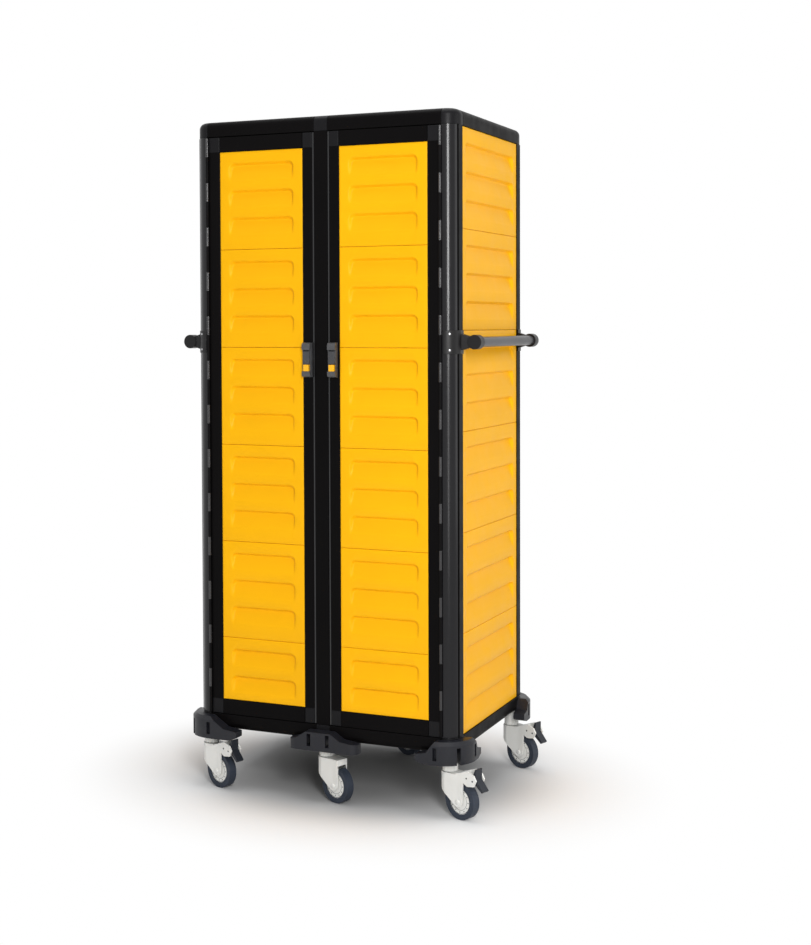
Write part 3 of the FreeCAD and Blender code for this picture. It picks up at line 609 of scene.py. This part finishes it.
for side, sign in (("right", 1.0), ("left", -1.0)):
    door_runs = []
    post_runs = []
    for index in range(HINGE_COUNT):
        start = HINGE_LOW + index * HINGE_PITCH
        seat = start + HINGE_PITCH - HINGE_RUN
        door_runs.append((start, seat - KNUCKLE_GAP))
        post_runs.append((seat, start + HINGE_PITCH - KNUCKLE_GAP))
    post_runs[-1] = (post_runs[-1][0], HINGE_TOP)
    for label, runs, body, (x0, x1), look in (
        ("door", door_runs, "door_" + side, DOOR_LEAF_X, hinge_painted_shade),
        ("post", post_runs, "cabinet", POST_LEAF_X, hinge_black),
    ):
        near, far = sorted((sign * x0, sign * x1))
        parts = [block(near, far, LEAF_FRONT, LEAF_BACK, HINGE_LOW, HINGE_TOP)]
        for low, high in runs:
            barrel = knuckle(low, high, KNUCKLE_R)
            parts.append(moved(
                barrel, lambda x, y, z, sign=sign: (sign * HINGE_X + x, HINGE_Y + y, z)
            ))
            parts.append(block(near, far, HINGE_Y, LEAF_FRONT + LEAF_LAP, low, high))
        node = "hinge_leaf_" + side if label == "door" else "hinge_post_leaves"
        piece(
            "hinge_%s_%s" % (label, side), *join(parts), look, body, "hinge_metal",
            replaced=(node,), angle=40.0,
        )


# ------------------------------------------------------------------ pieces kept from CAD
both_sides = ("right", "left")
casters = [
    "%s_%s" % (end, spot) for end in ("front", "rear") for spot in ("left", "centre", "right")
]
for names, width in (
    (["top_rails", "bottom_rails"], 1.6),
    (["top_connectors", "bottom_connectors"], 1.8),
    (["centre_posts"], 1.2),
    (["door_corners_" + side for side in both_sides], 1.0),
    (["door_seals_" + side for side in both_sides], 0.9),
    (["latch_body_" + side for side in both_sides], 1.2),
    (["latch_lever_" + side for side in both_sides], 1.6),
    (["latch_button_" + side for side in both_sides], 1.0),
    (["handle_sockets", "post_clamps"], 1.2),
    ([node for node in nodes if node.startswith("brake_pedal")], 1.2),
):
    soften(names, width)
soften(["bumpers"], 2.4, angle=30.0)
soften(["caster_fork_" + spot for spot in casters], 2.5, angle=30.0)


# ------------------------------------------------------------------ small fittings
TURN = math.radians(-21.0)
CASTER_X = 367.0
CASTER_Y = 252.0
WHEEL_TRAIL = 43.0
WHEEL_HEIGHT = 50.0
DOT_COUNT = 12
DOT_CIRCLE_R = 29.3
RIVET_SPOTS = ((74.0, 119.0), (95.0, 115.0))


def caster_point(spot, along, across, height):
    """Point of a caster's own frame in the cart's frame."""
    end, side = spot.split("_")
    base_x = {"left": -CASTER_X, "centre": 0.0, "right": CASTER_X}[side]
    base_y = -CASTER_Y if end == "front" else CASTER_Y
    x = base_x + along * math.cos(TURN) - across * math.sin(TURN)
    y = base_y + along * math.sin(TURN) + across * math.cos(TURN)
    return x, y, height


def upon_axle(spot, part, along, height, side):
    """Turns a part made about z so that it lies on a caster's cross axis."""
    return moved(part, lambda u, v, w: caster_point(spot, along + u, side * w, height + v))


wheel_ring = lathe([(33.6, 9.9), (34.9, 9.9), (34.9, 10.25), (33.6, 10.25)], 48)
inner_ring = lathe([(24.0, 9.9), (24.7, 9.9), (24.7, 10.2), (24.0, 10.2)], 48)
hub_dot = turned([(0.0, 9.9), (1.5, 9.9), (1.5, 10.2), (0.0, 10.25)], 10)
cross_cap = turned([
    (0.0, 18.9), (6.6, 18.9), (6.6, 21.0), (5.6, 22.0), (3.0, 22.4), (0.0, 22.4),
], 24)
rivet = turned([(0.0, 18.8), (2.4, 18.8), (2.4, 19.3), (1.6, 19.7), (0.0, 19.8)], 16)
for spot in casters:
    rings = []
    caps = []
    for side in (1.0, -1.0):
        rings.append(upon_axle(spot, wheel_ring, WHEEL_TRAIL, WHEEL_HEIGHT, side))
        rings.append(upon_axle(spot, inner_ring, WHEEL_TRAIL, WHEEL_HEIGHT, side))
        for index in range(DOT_COUNT):
            angle = 2.0 * math.pi * index / DOT_COUNT
            rings.append(upon_axle(
                spot, hub_dot, WHEEL_TRAIL + DOT_CIRCLE_R * math.cos(angle),
                WHEEL_HEIGHT + DOT_CIRCLE_R * math.sin(angle), side,
            ))
        caps.append(upon_axle(spot, cross_cap, WHEEL_TRAIL, WHEEL_HEIGHT, side))
    piece("wheel_rings_" + spot, *join(rings), tread, "wheel_" + spot, "tyre_rubber")
    piece("axle_caps_" + spot, *join(caps), white, "fork_" + spot, "caster_white")
    if "centre" not in spot:
        rivets = []
        for side in (1.0, -1.0):
            for along, height in RIVET_SPOTS:
                rivets.append(upon_axle(spot, rivet, along, height, side))
        piece(
            "brake_rivets_" + spot, *join(rivets), pedal_black, "fork_" + spot, "brake_plastic"
        )

CLAMP_R = 45.5
CLAMP_MID = 1270.0
SCREW_RISE = 21.5
SCREW_TILT = -60.0
screw = turned([(0.0, -0.4), (3.0, -0.4), (3.0, 0.9), (2.2, 1.4), (0.0, 1.5)], 18)
out_x = math.cos(math.radians(SCREW_TILT))
out_y = math.sin(math.radians(SCREW_TILT))
screws = []
for sx in (1.0, -1.0):
    for sy in (1.0, -1.0):
        for rise in (-SCREW_RISE, SCREW_RISE):
            screws.append(moved(screw, lambda u, v, w, sx=sx, sy=sy, rise=rise: (
                sx * (NOSE_X + (CLAMP_R + w) * out_x - u * out_y),
                sy * (NOSE_Y + (CLAMP_R + w) * out_y + u * out_x),
                CLAMP_MID + rise + v,
            )))
piece("clamp_screws", *join(screws), steel, "cabinet", "steel")


# ------------------------------------------------------------------ floor and light
def shown_rays(tree):
    """1 for camera, glossy and transmission rays, and 0 for those that light the object."""
    path = tree.nodes.new("ShaderNodeLightPath")
    value = path.outputs["Is Camera Ray"]
    for kind in ("Is Glossy Ray", "Is Transmission Ray"):
        larger = tree.nodes.new("ShaderNodeMath")
        larger.operation = "MAXIMUM"
        tree.links.new(value, larger.inputs[0])
        tree.links.new(path.outputs[kind], larger.inputs[1])
        value = larger.outputs["Value"]
    return value


def smooth_range(tree, value, start, end, low=0.0, high=1.0):
    """Smooth step from low to high while the value goes from start to end."""
    node = tree.nodes.new("ShaderNodeMapRange")
    node.interpolation_type = "SMOOTHSTEP"
    node.inputs["From Min"].default_value = start
    node.inputs["From Max"].default_value = end
    node.inputs["To Min"].default_value = low
    node.inputs["To Max"].default_value = high
    tree.links.new(value, node.inputs["Value"])
    return node.outputs["Result"]


# The floor's colour is darker below the cart, a painted shadow added to the cast one, and its
# far field shows as plain white.
# Distances count from the cart's middle, with the cart's reach as 1.
FLOOR_REACH_X = 0.45
FLOOR_REACH_Y = 0.36
FLOOR_HALF = 30.0
floor_look = bpy.data.materials.new("floor")
floor_look.use_nodes = True
tree = floor_look.node_tree
tree.nodes.clear()
output = tree.nodes.new("ShaderNodeOutputMaterial")
matte = tree.nodes.new("ShaderNodeBsdfDiffuse")
glow = tree.nodes.new("ShaderNodeEmission")
glow.inputs["Color"].default_value = (1.0, 1.0, 1.0, 1.0)
geometry = tree.nodes.new("ShaderNodeNewGeometry")
scaled = tree.nodes.new("ShaderNodeVectorMath")
scaled.operation = "MULTIPLY"
scaled.inputs[1].default_value = (1.0 / FLOOR_REACH_X, 1.0 / FLOOR_REACH_Y, 0.0)
tree.links.new(geometry.outputs["Position"], scaled.inputs[0])
length = tree.nodes.new("ShaderNodeVectorMath")
length.operation = "LENGTH"
tree.links.new(scaled.outputs["Vector"], length.inputs[0])
away = length.outputs["Value"]
# Painted shadow: the floor colour is 0.30 under the cart and rises to 0.95 away from it.
tree.links.new(smooth_range(tree, away, 0.35, 1.5, 0.30, 0.95), matte.inputs["Color"])
both = tree.nodes.new("ShaderNodeMath")
both.operation = "MULTIPLY"
tree.links.new(smooth_range(tree, away, 0.9, 2.1), both.inputs[0])
tree.links.new(shown_rays(tree), both.inputs[1])
blend = tree.nodes.new("ShaderNodeMixShader")
tree.links.new(both.outputs["Value"], blend.inputs["Fac"])
tree.links.new(matte.outputs["BSDF"], blend.inputs[1])
tree.links.new(glow.outputs["Emission"], blend.inputs[2])
tree.links.new(blend.outputs["Shader"], output.inputs["Surface"])

floor_mesh = bpy.data.meshes.new("floor")
floor_mesh.from_pydata(
    [(x * FLOOR_HALF, y * FLOOR_HALF, 0.0) for x, y in ((-1, -1), (1, -1), (1, 1), (-1, 1))],
    [],
    [(0, 1, 2, 3)],
)
floor_mesh.materials.append(floor_look)
floor = bpy.data.objects.new("floor", floor_mesh)
scene.collection.objects.link(floor)

world = bpy.data.worlds.new("world")
scene.world = world
world.use_nodes = True
tree = world.node_tree
tree.nodes.clear()
output = tree.nodes.new("ShaderNodeOutputWorld")
lighting = tree.nodes.new("ShaderNodeBackground")
lighting.inputs["Color"].default_value = (1.0, 1.0, 1.0, 1.0)
lighting.inputs["Strength"].default_value = 0.38
shown = tree.nodes.new("ShaderNodeBackground")
shown.inputs["Color"].default_value = (1.0, 1.0, 1.0, 1.0)
shown.inputs["Strength"].default_value = 1.0
mix = tree.nodes.new("ShaderNodeMixShader")
tree.links.new(shown_rays(tree), mix.inputs["Fac"])
tree.links.new(lighting.outputs["Background"], mix.inputs[1])
tree.links.new(shown.outputs["Background"], mix.inputs[2])
tree.links.new(mix.outputs["Shader"], output.inputs["Surface"])


def lamp(name, place, aim, size, power, size_y=None):
    """Area light aimed at a point and left out of the camera's view."""
    data = bpy.data.lights.new(name, "AREA")
    data.shape = "RECTANGLE"
    data.size = size
    data.size_y = size_y or size
    data.energy = power
    obj = bpy.data.objects.new(name, data)
    scene.collection.objects.link(obj)
    obj.location = place
    direction = Vector(aim) - Vector(place)
    obj.rotation_euler = direction.to_track_quat("-Z", "Y").to_euler()
    obj.visible_camera = False


lamp("key", (2.26, -3.53, 2.22), (0.35, -0.24, 1.2), 0.7, 105.0, 2.0)
lamp("low", (2.26, -3.53, 0.65), (0.35, -0.24, 0.9), 0.5, 8.0, 1.1)
lamp("side", (4.0, 0.3, 1.5), (0.39, 0.0, 1.0), 2.0, 22.0, 2.5)
lamp("top", (0.0, 0.0, 4.5), (0.0, 0.0, 0.0), 3.0, 60.0)
